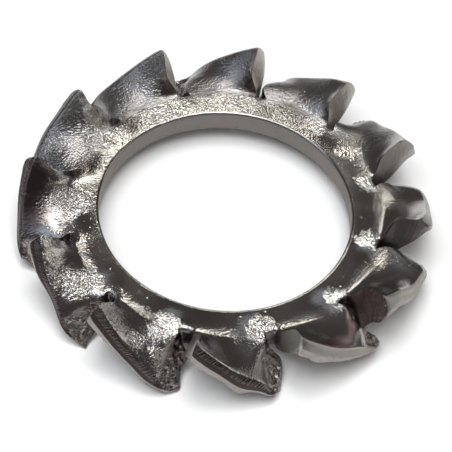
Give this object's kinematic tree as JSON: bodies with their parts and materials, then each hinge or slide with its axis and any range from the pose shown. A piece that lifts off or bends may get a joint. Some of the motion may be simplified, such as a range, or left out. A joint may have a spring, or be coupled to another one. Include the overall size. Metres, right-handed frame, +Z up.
{
  "type": "toothed lock washer",
  "caption": "Round toothed lock washer, stamped from spring strip in one piece, with twisted teeth round its rim that bite under a screw head or nut.",
  "frame": {"origin": "on the bore's axis, at the plane that the lowest tooth corners stand on", "axes": "+Z up along the bore's axis; +X through the middle of one tooth"},
  "size_m": [0.014, 0.014, 0.0024],
  "materials": {
    "tumbled_steel": "bright tumbled spring steel, finely pitted near the tooth roots, with sheared and torn edges on the teeth"
  },
  "bodies": {
    "root": {"lock_washer": "tumbled_steel"}
  },
  "joints": []
}
